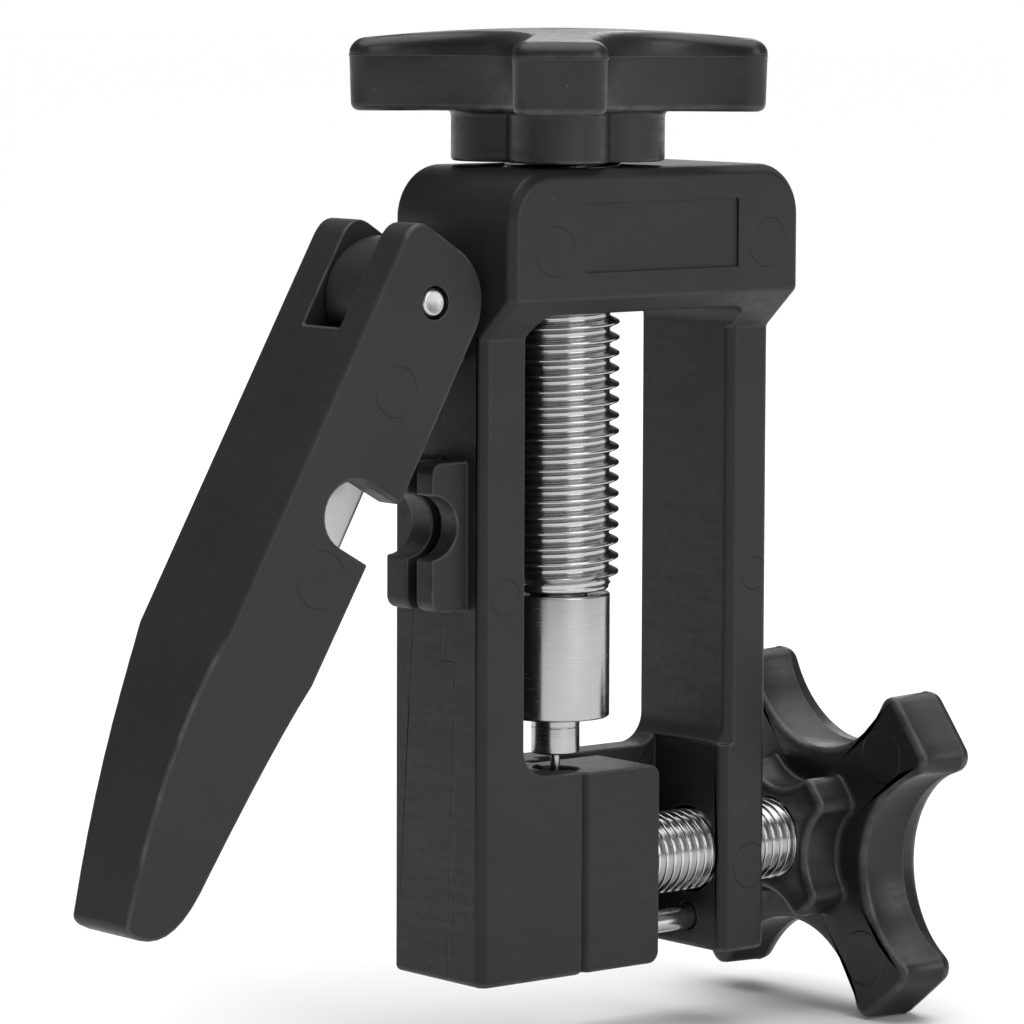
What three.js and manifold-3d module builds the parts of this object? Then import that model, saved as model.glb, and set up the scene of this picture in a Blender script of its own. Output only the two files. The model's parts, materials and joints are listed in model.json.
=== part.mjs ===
// Hydraulic brake hose cutter and connector press, a hand tool for bicycles.
// A moulded frame carries a press spindle from above, a side screw that closes a split
// hose clamp below it, and a hinged lever with a blade that cuts the hose on an anvil block.
// Millimetres, +Z up. The press axis is vertical through x = 0, y = PRESS_Y. The origin is on
// the underside of the frame's back wall, behind the press axis.
import * as THREE from 'three';
import { mergeVertices } from 'three/addons/utils/BufferGeometryUtils.js';
import Module from 'manifold-3d';

const wasm = await Module();
wasm.setup();

// ---------------------------------------------------------------- driving dimensions
const FRAME = { left: -12.5, right: 23.9, top: 77.7, front: -4.2, back: 9.0, corner: 5.0 };
const HEAD = { front: -8.4, slopeLow: 61.7, slopeHigh: 65.5, chamfer: 0.8 };
const WINDOW = { left: -7.3, right: 18.55, bottom: 19.8, top: 63.9, low: 2.8, high: 1.8, edge: 0.8 };
const POCKET = { right: 18.0, back: 6.0, top: 20.7, stepX: 2.2, stepY: 4.7 };
const LABEL = { left: -3.5, right: 15.7, bottom: 67.9, top: 74.5, depth: 0.25 };

const PRESS_Y = -7.5;                       // press axis from the origin, along Y
const HOSE_R = 2.2;                         // hose hole of the closed clamp
const SPINDLE = { r: 6.0, threadLow: 38.9, coneLow: 37.1, coneR: 5.1, threadTop: 79.5, shankR: 5.5,
                  top: 87.8, neckR: 3.0, neckLow: 29.9, neckEdge: 0.6, grooveR: 2.2, grooveZ: 33.0,
                  grooveHalf: 1.5 };
const COLLAR = { r: 5.2, bottom: 24.8, top: 36.8, edge: 0.2, boreR: 3.2, boreLow: 29.6 };
const SET_SCREW = { r: 1.2, sunk: 0.4 };
const HOLDER = { r: 2.35, bottom: 21.2, top: 24.6, edge: 0.15, shankR: 1.9, shankTop: 28.6 };
const NEEDLE = { r: 0.45, bottom: 17.9, top: 23.6, tipR: 0.25, tip: 0.5 };
const SPINDLE_NUT = { r: 7.2, bottom: 67.0, top: 77.3 };

const CLAMP_Y = 1.1;                        // side screw axis, from the press axis
const CLAMP_Z = 9.8;
const JAW = { left: 0.15, right: 9.9, front: -4.1, back: 4.4, bottom: 0.1, top: 19.6,
              corner: 1.2, chamfer: 0.8 };
const CLAMP_SCREW = { r: 4.0, threadLeft: 10.2, threadRight: 30.6, shankR: 3.6, right: 38.4,
                      neckR: 2.4, left: 3.3, edge: 0.5, grooveR: 1.7, grooveX: 5.9 };
const CLAMP_NUT = { r: 4.85, left: 20.0, right: 23.6 };
const CLIP = { thickness: 0.9, half: 2.6, front: -0.6, back: 4.1 };
const GUIDE_PIN = { r: 1.25, z: 3.05, left: 2.9, right: 21.8 };

const HINGE = { x: -19.07, z: 65.55, pinR: 1.4, lugR: 5.9, rootTop: 3, lugFront: -1.35,
                lugBack: 3.95 };
const LEVER = { front: -5.25, back: 8.65, open: 29.5, slotFront: -1.5, slotBack: 4.1, slotBottom: -5.85,
                inner: 5.7, outer: -6.2, knee: [-6.45, -38], wall: 2.3, cheek: 3.0,
                channelTop: -8.5, channelLow: -57 };
const TAPER = { start: -37.2, bend: 1.9, bendZ: -45, narrowing: 2.7, end: -66 };
const NOTCH = { x: 1.2, z: -21.45, r: 3.2, fillet: 0.6 };
const ANVIL = { left: -16.75, front: -1.9, back: 5.1, bottom: 36.0, top: 50.2, corner: 1.2,
                notchR: 3.0, notchZ: 44.1, slit: 1.4 };
const BLADE = { y: 1.25, thickness: 0.5, edge: 5.9, bevel: 0.5, flat: 0.04, heel: -3.6, bottom: -30,
                top: -13 };
const BLADE_PIN = { r: 0.8, x: -1.9, insetZ: 1.3, front: -0.2, sunk: 0.3 };
const RIB = { thickness: 1.2, left: -5.0, right: 1.6, beyond: 0.7 };

const STAR = { tip: 19.9, valleyR: 10.05, valleyAt: 19.4, fillet: 1.7, thickness: 7.8, dome: 1.1,
               edge: 0.5 };
const TOP_KNOB = { hub: 78.15, star: 83.0, coreR: 6.8, petalR: 4.8, petalAt: 5.4, phase: 50.6 };
const SIDE_KNOB = { hub: 28.8, star: 33.4, tip: 8.6, valleyR: 5.9, valleyAt: 11.2, fillet: 1.2,
                    phase: 51.2 };
const KNOB_HOLE_R = 1.85;                   // small hole in the middle of each knob's crown

const GAP = 0.3;                            // between pieces that touch on the real tool
const FIT = 0.1;                            // radial, around pins that turn or slide
const PAST = 1;                             // how far a cut runs past the face it opens
const ROUND = 40;                           // facets of a full circle
const SMALL = 24;                           // facets of a small pin or hole
const ARC = 8;                              // segments of each arc in an outline

// ---------------------------------------------------------------- solids and booleans
function solid(geometry) {
  const bare = geometry.index ? geometry.toNonIndexed() : geometry.clone();
  bare.deleteAttribute('normal');
  bare.deleteAttribute('uv');
  const merged = mergeVertices(bare, 1e-4);
  return new wasm.Manifold(new wasm.Mesh({
    numProp: 3,
    vertProperties: new Float32Array(merged.attributes.position.array),
    triVerts: new Uint32Array(merged.index.array),
  }));
}

function geometryOf(body) {
  const mesh = body.getMesh();
  const geometry = new THREE.BufferGeometry();
  geometry.setAttribute('position', new THREE.BufferAttribute(new Float32Array(mesh.vertProperties), 3));
  geometry.setIndex(new THREE.BufferAttribute(new Uint32Array(mesh.triVerts), 1));
  geometry.computeVertexNormals();
  return geometry;
}

const subtractAll = (body, cuts) => cuts.reduce((left, cut) => left.subtract(cut), body);
const addAll = (bodies) => bodies.reduce((joined, body) => joined.add(body));

function box(x0, x1, y0, y1, z0, z1) {
  const geometry = new THREE.BoxGeometry(x1 - x0, y1 - y0, z1 - z0);
  return solid(geometry.translate((x0 + x1) / 2, (y0 + y1) / 2, (z0 + z1) / 2));
}

// A cylinder along 'x', 'y' or 'z' from low to high; the centre lists the two other axes in order.
function rod(axis, radius, low, high, centre = [0, 0], facets = ROUND) {
  const geometry = new THREE.CylinderGeometry(radius, radius, high - low, facets);
  const middle = (low + high) / 2;
  if (axis === 'x') geometry.rotateZ(-Math.PI / 2).translate(middle, centre[0], centre[1]);
  if (axis === 'y') geometry.translate(centre[0], middle, centre[1]);
  if (axis === 'z') geometry.rotateX(Math.PI / 2).translate(centre[0], centre[1], middle);
  return solid(geometry);
}

// A turned piece about Z: pairs of [radius, height] from the bottom centre to the top centre.
function turned(profile) {
  const geometry = new THREE.LatheGeometry(profile.map(([r, z]) => new THREE.Vector2(r, z)), ROUND);
  return solid(geometry.rotateX(Math.PI / 2));
}

// An outline drawn with lines and arcs, swept along Z; points that repeat are dropped first.
function extruded(outline, depth, options = {}) {
  const points = outline.getPoints(ARC).filter((point, index, all) =>
    point.distanceTo(all[(index + 1) % all.length]) > 1e-3);
  return new THREE.ExtrudeGeometry(new THREE.Shape(points), { depth, bevelEnabled: false, ...options });
}

// An outline in the XZ plane, swept along Y from front to back.
function plateXZ(outline, front, back, options = {}) {
  const geometry = extruded(outline, back - front, options);
  return solid(geometry.rotateX(Math.PI / 2).translate(0, back, 0));
}

// An outline in the YZ plane, swept along X.
function plateYZ(outline, left, right) {
  const geometry = extruded(outline, right - left);
  return solid(geometry.rotateX(Math.PI / 2).rotateZ(Math.PI / 2).translate(left, 0, 0));
}

function roundedRectangle(x0, x1, y0, y1, [lowLeft, lowRight, highRight, highLeft]) {
  const shape = new THREE.Shape();
  shape.moveTo(x0 + lowLeft, y0);
  shape.lineTo(x1 - lowRight, y0);
  if (lowRight) shape.absarc(x1 - lowRight, y0 + lowRight, lowRight, -Math.PI / 2, 0);
  shape.lineTo(x1, y1 - highRight);
  if (highRight) shape.absarc(x1 - highRight, y1 - highRight, highRight, 0, Math.PI / 2);
  shape.lineTo(x0 + highLeft, y1);
  if (highLeft) shape.absarc(x0 + highLeft, y1 - highLeft, highLeft, Math.PI / 2, Math.PI);
  shape.lineTo(x0, y0 + lowLeft);
  if (lowLeft) shape.absarc(x0 + lowLeft, y0 + lowLeft, lowLeft, Math.PI, 1.5 * Math.PI);
  return shape;
}

function polygon(points) {
  return new THREE.Shape(points.map(([x, y]) => new THREE.Vector2(x, y)));
}

// ---------------------------------------------------------------- frame
// What lies in front of the frame's stepped face, as one solid; sheared by 45 degrees about a
// corner it also cuts the chamfer that follows the step.
function frontSpace() {
  const margin = 5 * PAST;
  const ahead = HEAD.front - margin;
  const high = FRAME.top + margin;
  return plateYZ(polygon([[ahead, -margin], [FRAME.front, -margin], [FRAME.front, HEAD.slopeLow],
    [HEAD.front, HEAD.slopeHigh], [HEAD.front, high], [ahead, high]]), FRAME.left - PAST, FRAME.right + PAST);
}

function shearedAtCorner(space, cornerX, chamfer, side) {
  const shear = new THREE.Matrix4().set(
    1, 0, 0, 0,
    -side, 1, 0, side * cornerX + chamfer,
    0, 0, 1, 0,
    0, 0, 0, 1);
  const geometry = geometryOf(space).applyMatrix4(shear);
  return solid(geometry);
}

function anvilBlock() {
  const outline = roundedRectangle(ANVIL.left, FRAME.left + PAST, ANVIL.bottom, ANVIL.top,
    [ANVIL.corner, 0, 0, ANVIL.corner]);
  const slitLow = BLADE.y - ANVIL.slit / 2;
  return subtractAll(plateXZ(outline, ANVIL.front, ANVIL.back), [
    rod('y', ANVIL.notchR, ANVIL.front - PAST, ANVIL.back + PAST, [ANVIL.left, ANVIL.notchZ]),
    box(ANVIL.left - PAST, FRAME.left, slitLow, slitLow + ANVIL.slit, ANVIL.bottom - PAST, ANVIL.top + PAST),
  ]);
}

function hingeLug() {
  return addAll([
    rod('y', HINGE.lugR, HINGE.lugFront, HINGE.lugBack, [HINGE.x, HINGE.z]),
    box(HINGE.x, FRAME.left + PAST, HINGE.lugFront, HINGE.lugBack,
      HINGE.z - HINGE.lugR, HINGE.z + HINGE.rootTop),
  ]);
}

function frame() {
  const outline = roundedRectangle(FRAME.left, FRAME.right, 0, FRAME.top,
    [0, 0, FRAME.corner, FRAME.corner]);
  const block = plateXZ(outline, HEAD.front + HEAD.chamfer, FRAME.back, { bevelEnabled: true,
    bevelThickness: HEAD.chamfer, bevelSize: HEAD.chamfer, bevelOffset: -HEAD.chamfer, bevelSegments: 1 });
  const behind = box(FRAME.left - PAST, FRAME.right + PAST, FRAME.back, FRAME.back + 5 * PAST,
    -PAST, FRAME.top + PAST);
  const ahead = frontSpace();
  const opening = roundedRectangle(WINDOW.left, WINDOW.right, WINDOW.bottom, WINDOW.top,
    [WINDOW.low, WINDOW.low, WINDOW.high, WINDOW.high]);
  const nutR = SPINDLE_NUT.r + GAP;
  const edge = (x) => plateZTriangle(x, WINDOW.edge, FRAME.front);
  const body = subtractAll(block, [
    behind,
    ahead,
    shearedAtCorner(ahead, FRAME.left, HEAD.chamfer, 1),
    shearedAtCorner(ahead, FRAME.right, HEAD.chamfer, -1),
    plateXZ(opening, HEAD.front - PAST, FRAME.back + PAST),
    box(0, POCKET.right, HEAD.front, POCKET.stepY, -PAST, POCKET.top),
    box(POCKET.stepX, POCKET.right, HEAD.front, POCKET.back, -PAST, POCKET.top),
    edge(WINDOW.right)(POCKET.top, HEAD.slopeLow),
    edge(POCKET.right)(-PAST, POCKET.top),
    rod('z', HOSE_R, -PAST, WINDOW.bottom + PAST),
    rod('z', SPINDLE.r + GAP, WINDOW.top - PAST, FRAME.top + PAST),
    rod('z', nutR, SPINDLE_NUT.bottom - GAP, FRAME.top + PAST),
    rod('x', CLAMP_SCREW.r + GAP, POCKET.right - PAST, FRAME.right + PAST, [CLAMP_Y, CLAMP_Z]),
    rod('x', CLAMP_NUT.r + GAP, CLAMP_NUT.left - GAP, FRAME.right + PAST, [CLAMP_Y, CLAMP_Z]),
    rod('x', GUIDE_PIN.r + FIT, POCKET.right - PAST, FRAME.right + PAST, [CLAMP_Y, GUIDE_PIN.z]),
    box(LABEL.left, LABEL.right, HEAD.front - PAST, HEAD.front + LABEL.depth, LABEL.bottom, LABEL.top),
  ]);
  return addAll([body, anvilBlock(), hingeLug()])
    .subtract(rod('y', HINGE.pinR + FIT, HINGE.lugFront - PAST, HINGE.lugBack + PAST, [HINGE.x, HINGE.z]));
}

// A triangular strip that cuts a 45 degree chamfer on a vertical edge facing -X and -Y.
function plateZTriangle(x, size, y) {
  return (low, high) => {
    const outline = polygon([[x - PAST, y - PAST], [x + size + PAST, y - PAST], [x - PAST, y + size + PAST]]);
    return solid(extruded(outline, high - low).translate(0, 0, low));
  };
}

// ---------------------------------------------------------------- knobs
// A four-lobed outline: flat tips with rounded corners, joined by round valleys.
function starShape({ tip, valleyR, valleyAt, fillet }) {
  const shape = new THREE.Shape();
  const valley = valleyAt * Math.SQRT1_2;
  const cornerX = tip - fillet;
  const cornerY = valley - Math.sqrt((valleyR + fillet) ** 2 - (cornerX - valley) ** 2);
  const meet = Math.atan2(valley - cornerY, valley - cornerX);
  const turn = (x, y, a) => [x * Math.cos(a) - y * Math.sin(a), x * Math.sin(a) + y * Math.cos(a)];
  for (let lobe = 0; lobe < 4; lobe++) {
    const a = lobe * Math.PI / 2;
    const [lowX, lowY] = turn(cornerX, -cornerY, a);
    const [highX, highY] = turn(cornerX, cornerY, a);
    const [valleyX, valleyY] = turn(valley, valley, a);
    shape.absarc(lowX, lowY, fillet, a - meet, a);
    shape.absarc(highX, highY, fillet, a, a + meet);
    shape.absarc(valleyX, valleyY, valleyR, a + meet + Math.PI, a + 1.5 * Math.PI - meet, true);
  }
  return shape;
}

// Star, hub and bores along +Z, from the hub's face at z = 0.
function knob(hub, hubHeight, boreR, boreTop, threadR, threadTop, phase) {
  const crown = hubHeight + STAR.thickness;
  const rim = STAR.tip + PAST;
  const star = extruded(starShape(STAR), STAR.thickness - 2 * STAR.edge, { bevelEnabled: true,
    bevelThickness: STAR.edge, bevelSize: STAR.edge, bevelOffset: -STAR.edge, bevelSegments: 1 });
  const dome = turned([[0, 0], [rim, 0], [rim, STAR.thickness - STAR.dome],
    [STAR.tip / 2, STAR.thickness - STAR.dome / 4], [0, STAR.thickness]]);
  return subtractAll(addAll([
    solid(star.translate(0, 0, STAR.edge)).intersect(dome).translate([0, 0, hubHeight]), hub]), [
    rod('z', threadR, -PAST, threadTop),
    rod('z', boreR, -PAST, boreTop),
    rod('z', KNOB_HOLE_R, boreTop - PAST, crown + PAST),
  ]).rotate([0, 0, phase]);
}

function spindleKnob() {
  const height = TOP_KNOB.star - TOP_KNOB.hub;
  const petals = [0, 1, 2, 3].map((k) => {
    const a = k * Math.PI / 2;
    return rod('z', TOP_KNOB.petalR, 0, height + PAST,
      [TOP_KNOB.petalAt * Math.cos(a), TOP_KNOB.petalAt * Math.sin(a)]);
  });
  const hub = addAll([...petals, rod('z', TOP_KNOB.coreR, 0, height + PAST)]);
  return knob(hub, height, SPINDLE.shankR + GAP, SPINDLE.top + GAP - TOP_KNOB.hub,
    SPINDLE.r + GAP, SPINDLE.threadTop + GAP - TOP_KNOB.hub, TOP_KNOB.phase);
}

function clampKnob() {
  const height = SIDE_KNOB.star - SIDE_KNOB.hub;
  const hub = solid(extruded(starShape(SIDE_KNOB), height + PAST));
  return knob(hub, height, CLAMP_SCREW.shankR + GAP, CLAMP_SCREW.right + GAP - SIDE_KNOB.hub,
    CLAMP_SCREW.r + GAP, CLAMP_SCREW.threadRight + GAP - SIDE_KNOB.hub, SIDE_KNOB.phase);
}

// ---------------------------------------------------------------- spindle and press head
function spindleScrew() {
  const { r, threadLow, coneLow, coneR, threadTop, shankR, top } = SPINDLE;
  const { neckR, neckLow, neckEdge, grooveR, grooveZ, grooveHalf } = SPINDLE;
  return turned([[0, neckLow], [neckR - neckEdge, neckLow], [neckR, neckLow + neckEdge],
    [neckR, grooveZ - grooveHalf], [grooveR, grooveZ - grooveHalf], [grooveR, grooveZ + grooveHalf],
    [neckR, grooveZ + grooveHalf], [neckR, coneLow], [coneR, coneLow], [r, threadLow], [r, threadTop],
    [shankR, threadTop + FIT], [shankR, top], [0, top]]);
}

function swivelCollar() {
  const { r, bottom, top, edge, boreR, boreLow } = COLLAR;
  return subtractAll(turned([[0, bottom], [r - edge, bottom], [r, bottom + edge], [r, top - edge],
    [r - edge, top], [0, top]]), [
    rod('z', boreR, boreLow, top + PAST),
    rod('z', HOLDER.shankR + 2 * FIT, bottom - PAST, boreLow + PAST),
    rod('y', SET_SCREW.r + FIT, 0, r + PAST, [0, SPINDLE.grooveZ], SMALL),
  ]);
}

function needleHolder() {
  const { r, bottom, top, edge, shankR, shankTop } = HOLDER;
  return turned([[0, bottom], [r - edge, bottom], [r, bottom + edge], [r, top], [shankR, top],
    [shankR, shankTop], [0, shankTop]])
    .subtract(rod('z', NEEDLE.r + FIT, bottom - PAST, NEEDLE.top + FIT, [0, 0], SMALL));
}

function needlePin() {
  const { r, bottom, top, tipR, tip } = NEEDLE;
  return turned([[0, bottom], [tipR, bottom], [r, bottom + tip], [r, top], [0, top]]);
}

function collarSetScrew() {
  return rod('y', SET_SCREW.r, SPINDLE.grooveR + GAP, COLLAR.r - SET_SCREW.sunk, [0, SPINDLE.grooveZ], SMALL);
}

function spindleNut() {
  const { r, bottom, top } = SPINDLE_NUT;
  return rod('z', r, bottom, top).subtract(rod('z', SPINDLE.r + FIT, bottom - PAST, top + PAST));
}

// ---------------------------------------------------------------- hose clamp
function movableJaw() {
  const { left, right, front, back, bottom, top, corner, chamfer } = JAW;
  const outline = roundedRectangle(left, right, bottom, top, [0, corner, corner, 0]);
  const groove = CLIP.thickness / 2 + GAP;
  return subtractAll(plateXZ(outline, front, back), [
    rod('z', HOSE_R, bottom - PAST, top + PAST),
    plateZTriangle(left, chamfer, front)(bottom - PAST, top + PAST),
    rod('x', CLAMP_SCREW.neckR + GAP, CLAMP_SCREW.left - GAP, right + PAST, [CLAMP_Y, CLAMP_Z]),
    rod('x', GUIDE_PIN.r + FIT, GUIDE_PIN.left - FIT, right + PAST, [CLAMP_Y, GUIDE_PIN.z]),
    box(CLAMP_SCREW.grooveX - groove, CLAMP_SCREW.grooveX + groove, CLIP.front - GAP, back + PAST,
      CLAMP_Z - CLIP.half - GAP, CLAMP_Z + CLIP.half + GAP),
  ]);
}

function clampScrew() {
  const { r, threadLeft, threadRight, shankR, right, neckR, left, edge, grooveR, grooveX } = CLAMP_SCREW;
  const wide = CLIP.thickness / 2 + GAP;
  const body = turned([[0, left], [neckR - edge, left], [neckR, left + edge], [neckR, grooveX - wide],
    [grooveR, grooveX - wide], [grooveR, grooveX + wide], [neckR, grooveX + wide], [neckR, threadLeft],
    [r - edge, threadLeft], [r, threadLeft + edge], [r, threadRight], [shankR, threadRight + FIT],
    [shankR, right], [0, right]]);
  return body.rotate([0, 90, 0]).translate([0, CLAMP_Y, CLAMP_Z]);
}

// A U-shaped clip, open to the front, that rides in the screw's groove inside the jaw.
function screwClip() {
  const { thickness, half, front, back } = CLIP;
  const low = CLAMP_SCREW.grooveX - thickness / 2;
  const high = CLAMP_SCREW.grooveX + thickness / 2;
  const leg = CLAMP_SCREW.grooveR + 2 * FIT;
  return subtractAll(box(low, high, front, back, CLAMP_Z - half, CLAMP_Z + half), [
    rod('x', leg, low - PAST, high + PAST, [CLAMP_Y, CLAMP_Z], SMALL),
    box(low - PAST, high + PAST, front - PAST, CLAMP_Y, CLAMP_Z - leg, CLAMP_Z + leg),
  ]);
}

function clampNut() {
  const { r, left, right } = CLAMP_NUT;
  return rod('x', r, left, right, [CLAMP_Y, CLAMP_Z])
    .subtract(rod('x', CLAMP_SCREW.r + FIT, left - PAST, right + PAST, [CLAMP_Y, CLAMP_Z]));
}

// ---------------------------------------------------------------- cutter lever
// The lever and the blade are drawn closed, with the hinge at x = 0, z = 0 and the frame on +X.
function leverOutline() {
  const { inner, outer, knee } = LEVER;
  const { x, z, r, fillet } = NOTCH;
  const shape = new THREE.Shape();
  shape.moveTo(inner, z + r + fillet);
  shape.lineTo(inner, 0);
  shape.absarc(0, 0, inner, 0, Math.PI / 2);
  shape.lineTo(-3.9, 5.9);
  shape.quadraticCurveTo(-6.1, 5.9, outer, 3.4);
  shape.lineTo(...knee);
  shape.bezierCurveTo(-6.3, -46, -4.9, -54.5, -1.95, -64.3);
  shape.quadraticCurveTo(-1.75, -65, -0.9, -65.05);
  shape.quadraticCurveTo(3.9, -65.1, 4.2, -58.6);
  shape.lineTo(5.0, z - r);
  shape.lineTo(x, z - r);
  shape.absarc(x, z, r, 1.5 * Math.PI, 0.5 * Math.PI, true);
  shape.lineTo(inner - fillet, z + r);
  shape.quadraticCurveTo(inner, z + r, inner, z + r + fillet);
  return shape;
}

// The lever's width seen from its outer face, narrowing to the grip; inset thins it on both sides.
function leverWidth(inset) {
  const left = LEVER.front + inset;
  const right = LEVER.back - inset;
  const { start, bend, bendZ, narrowing, end } = TAPER;
  const shape = new THREE.Shape();
  shape.moveTo(left, 3 * ARC);
  shape.lineTo(left, start);
  shape.quadraticCurveTo(left + bend, bendZ, left + narrowing, end);
  shape.lineTo(right - narrowing, end);
  shape.quadraticCurveTo(right - bend, bendZ, right, start);
  shape.lineTo(right, 3 * ARC);
  return plateYZ(shape, 2 * LEVER.outer, 2 * LEVER.inner);
}

// Two ribs that hold the blade between them, cut by the notch for the hose.
function bladeRibs() {
  const { thickness, left, right, beyond } = RIB;
  const inner = BLADE.thickness / 2 + FIT;
  const rib = (y) => box(left, right, y, y + thickness, BLADE.bottom - beyond, BLADE.top + beyond);
  const passage = addAll([
    rod('y', NOTCH.r, LEVER.front, LEVER.back, [NOTCH.x, NOTCH.z]),
    box(NOTCH.x, LEVER.inner + PAST, LEVER.front, LEVER.back, NOTCH.z - NOTCH.r, NOTCH.z + NOTCH.r),
  ]);
  return addAll([rib(BLADE.y - inner - thickness), rib(BLADE.y + inner)]).subtract(passage);
}

const bladePinHeights = [BLADE.bottom + BLADE_PIN.insetZ, BLADE.top - BLADE_PIN.insetZ];

function bladePinHole(z) {
  return rod('y', BLADE_PIN.r + FIT, BLADE_PIN.front - 2 * FIT, LEVER.back + PAST, [BLADE_PIN.x, z], SMALL);
}

function cutterLever() {
  const { front, back, slotFront, slotBack, slotBottom, inner, outer, knee, wall } = LEVER;
  const { cheek, channelTop, channelLow } = LEVER;
  const open = inner + 3 * PAST;
  const floor = outer + wall;
  const channelOutline = polygon([[floor, channelTop], [knee[0] + wall, knee[1]], [-2.9, -51],
    [-1.4, channelLow], [0.8, channelLow], [open, -50], [open, channelTop]]);
  const body = subtractAll(plateXZ(leverOutline(), front, back).intersect(leverWidth(0)), [
    plateXZ(channelOutline, front, back).intersect(leverWidth(cheek)),
    box(-open, open, slotFront, slotBack, slotBottom, open),
    box(floor, open, slotFront, slotBack, channelTop - PAST, slotBottom + PAST),
    rod('y', HINGE.pinR + 2 * FIT, front - PAST, back + PAST),
  ]);
  return subtractAll(addAll([body, bladeRibs()]), bladePinHeights.map(bladePinHole));
}

function blade() {
  const half = BLADE.thickness / 2;
  const { edge, bevel, flat, heel, bottom, top, y } = BLADE;
  const outline = polygon([[heel, y - half], [edge - bevel, y - half], [edge, y - flat], [edge, y + flat],
    [edge - bevel, y + half], [heel, y + half]]);
  const sheet = solid(extruded(outline, top - bottom).translate(0, 0, bottom));
  return subtractAll(sheet, bladePinHeights.map(bladePinHole));
}

function bladePin(z) {
  return rod('y', BLADE_PIN.r, BLADE_PIN.front, LEVER.back - BLADE_PIN.sunk, [BLADE_PIN.x, z], SMALL);
}

function hingePin() {
  const sunk = 1.5 * FIT;
  return rod('y', HINGE.pinR, LEVER.front + sunk, LEVER.back - sunk, [HINGE.x, HINGE.z]);
}

function guidePin() {
  return rod('x', GUIDE_PIN.r, GUIDE_PIN.left, GUIDE_PIN.right, [CLAMP_Y, GUIDE_PIN.z], SMALL);
}

// ---------------------------------------------------------------- materials
function material(color, roughness, metalness) {
  return new THREE.MeshStandardMaterial({ color, roughness, metalness });
}

const nylon = material(0x2b2b2c, 0.62, 0);
const knobPlastic = material(0x262627, 0.5, 0);
const plating = material(0xc9cbce, 0.22, 1);
const steel = material(0xb4b6b9, 0.32, 1);
const bladeSteel = material(0xa4a6a9, 0.35, 1);

// ---------------------------------------------------------------- assembly
function piece(name, body, finish) {
  const mesh = new THREE.Mesh(geometryOf(body), finish);
  mesh.name = name;
  return mesh;
}

const tool = new THREE.Group();
tool.position.set(0, PRESS_Y, 0);

tool.add(
  piece('frame', frame(), nylon),
  piece('spindle_nut', spindleNut(), steel),
  piece('clamp_nut', clampNut(), steel),
  piece('hinge_pin', hingePin(), steel),
  piece('spindle_screw', spindleScrew(), plating),
  piece('swivel_collar', swivelCollar(), steel),
  piece('collar_set_screw', collarSetScrew(), steel),
  piece('needle_holder', needleHolder(), steel),
  piece('needle_pin', needlePin(), steel),
  piece('movable_jaw', movableJaw(), nylon),
  piece('guide_pin', guidePin(), plating),
  piece('screw_clip', screwClip(), steel),
  piece('clamp_screw', clampScrew(), plating),
);

const topKnob = piece('spindle_knob', spindleKnob(), knobPlastic);
topKnob.position.set(0, 0, TOP_KNOB.hub);
const sideKnob = piece('clamp_knob', clampKnob(), knobPlastic);
sideKnob.rotation.set(0, Math.PI / 2, 0);
sideKnob.position.set(SIDE_KNOB.hub, CLAMP_Y, CLAMP_Z);
tool.add(topKnob, sideKnob);

const lever = new THREE.Group();
lever.position.set(HINGE.x, 0, HINGE.z);
lever.rotation.y = THREE.MathUtils.degToRad(LEVER.open);
lever.add(
  piece('cutter_lever', cutterLever(), nylon),
  piece('blade', blade(), bladeSteel),
  piece('blade_pin_lower', bladePin(bladePinHeights[0]), steel),
  piece('blade_pin_upper', bladePin(bladePinHeights[1]), steel),
);
tool.add(lever);

export default tool;
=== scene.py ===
# Looks for a hydraulic brake hose cutter and connector press, a black moulded hand tool.
# Shapes are drawn in millimetres about the press axis, then moved into the CAD frame.
import json
import math

import bmesh
import bpy
from mathutils import Matrix, Vector


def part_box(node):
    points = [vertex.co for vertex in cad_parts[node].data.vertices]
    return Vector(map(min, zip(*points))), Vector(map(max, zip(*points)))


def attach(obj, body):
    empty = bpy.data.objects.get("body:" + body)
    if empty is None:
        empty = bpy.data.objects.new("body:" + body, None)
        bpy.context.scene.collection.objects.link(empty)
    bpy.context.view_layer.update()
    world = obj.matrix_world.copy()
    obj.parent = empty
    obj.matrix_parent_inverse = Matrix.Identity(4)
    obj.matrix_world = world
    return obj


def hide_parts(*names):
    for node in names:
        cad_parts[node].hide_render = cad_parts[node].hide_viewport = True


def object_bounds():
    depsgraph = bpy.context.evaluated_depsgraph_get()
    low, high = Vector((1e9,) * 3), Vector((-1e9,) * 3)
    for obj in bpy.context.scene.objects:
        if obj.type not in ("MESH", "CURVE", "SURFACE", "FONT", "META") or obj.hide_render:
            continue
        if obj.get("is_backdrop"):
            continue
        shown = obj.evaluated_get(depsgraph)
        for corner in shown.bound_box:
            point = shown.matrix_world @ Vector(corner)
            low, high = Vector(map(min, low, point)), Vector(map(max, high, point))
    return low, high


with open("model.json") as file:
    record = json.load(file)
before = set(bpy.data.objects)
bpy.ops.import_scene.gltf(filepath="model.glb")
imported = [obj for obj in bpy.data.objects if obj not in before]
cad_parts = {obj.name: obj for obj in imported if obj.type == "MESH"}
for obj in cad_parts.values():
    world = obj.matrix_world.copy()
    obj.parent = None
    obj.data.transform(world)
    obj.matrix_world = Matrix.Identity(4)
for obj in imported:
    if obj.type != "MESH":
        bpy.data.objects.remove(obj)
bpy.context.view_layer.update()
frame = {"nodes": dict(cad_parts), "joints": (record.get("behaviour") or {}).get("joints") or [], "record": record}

MM = 0.001
CORNER_STEPS = 4
WEAR_AND_HIGHLIGHT_BEND = 0.36  # least turn, in radians, of an edge painted pale, partly as rub wear and partly as a painted highlight
SMALL_FACE = 6  # square millimetres
FLAT = math.radians(0.6)
ROUNDED_FROM = math.radians(25)
SMOOTH_TO = 34  # degrees
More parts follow.
